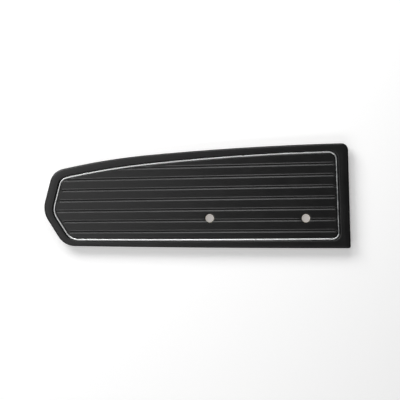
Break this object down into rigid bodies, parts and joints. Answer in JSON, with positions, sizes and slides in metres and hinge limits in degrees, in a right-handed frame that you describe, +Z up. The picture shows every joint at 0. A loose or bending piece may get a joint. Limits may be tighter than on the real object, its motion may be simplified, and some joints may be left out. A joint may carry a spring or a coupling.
{
  "type": "car door lower trim panel",
  "caption": "Padded lower door trim panel: ribbed black vinyl over foam and hardboard, bright bead round the field, plain armrest holes, spring clips behind.",
  "frame": {"origin": "middle of the panel's length and height, on the mounting plane where the turned-over hem rests on the door", "axes": "+X towards the rear of the car, +Y into the door, out of the panel's back, +Z up; the trimmed face looks along -Y"},
  "size_m": [0.6877, 0.0251, 0.236],
  "materials": {
    "hardboard": "pressed fibre board, mesh-textured back",
    "foam": "open-cell foam",
    "vinyl": "fine-grained satin vinyl",
    "bright_film": "bright metallised film over plastic",
    "spring_steel": "zinc plated",
    "galvanised_wire": "galvanised"
  },
  "bodies": {
    "root": {"backer_board": "hardboard", "foam_sheet": "foam", "border_roll": "foam", "vinyl_cover": "vinyl", "trim_bead": "bright_film", "staples": "galvanised_wire", "spring_clip_01": "spring_steel", "spring_clip_02": "spring_steel", "spring_clip_03": "spring_steel", "spring_clip_04": "spring_steel", "spring_clip_05": "spring_steel", "spring_clip_06": "spring_steel", "spring_clip_07": "spring_steel", "spring_clip_08": "spring_steel", "spring_clip_09": "spring_steel", "spring_clip_10": "spring_steel", "spring_clip_11": "spring_steel", "spring_clip_12": "spring_steel", "spring_clip_13": "spring_steel", "spring_clip_14": "spring_steel"}
  },
  "joints": []
}
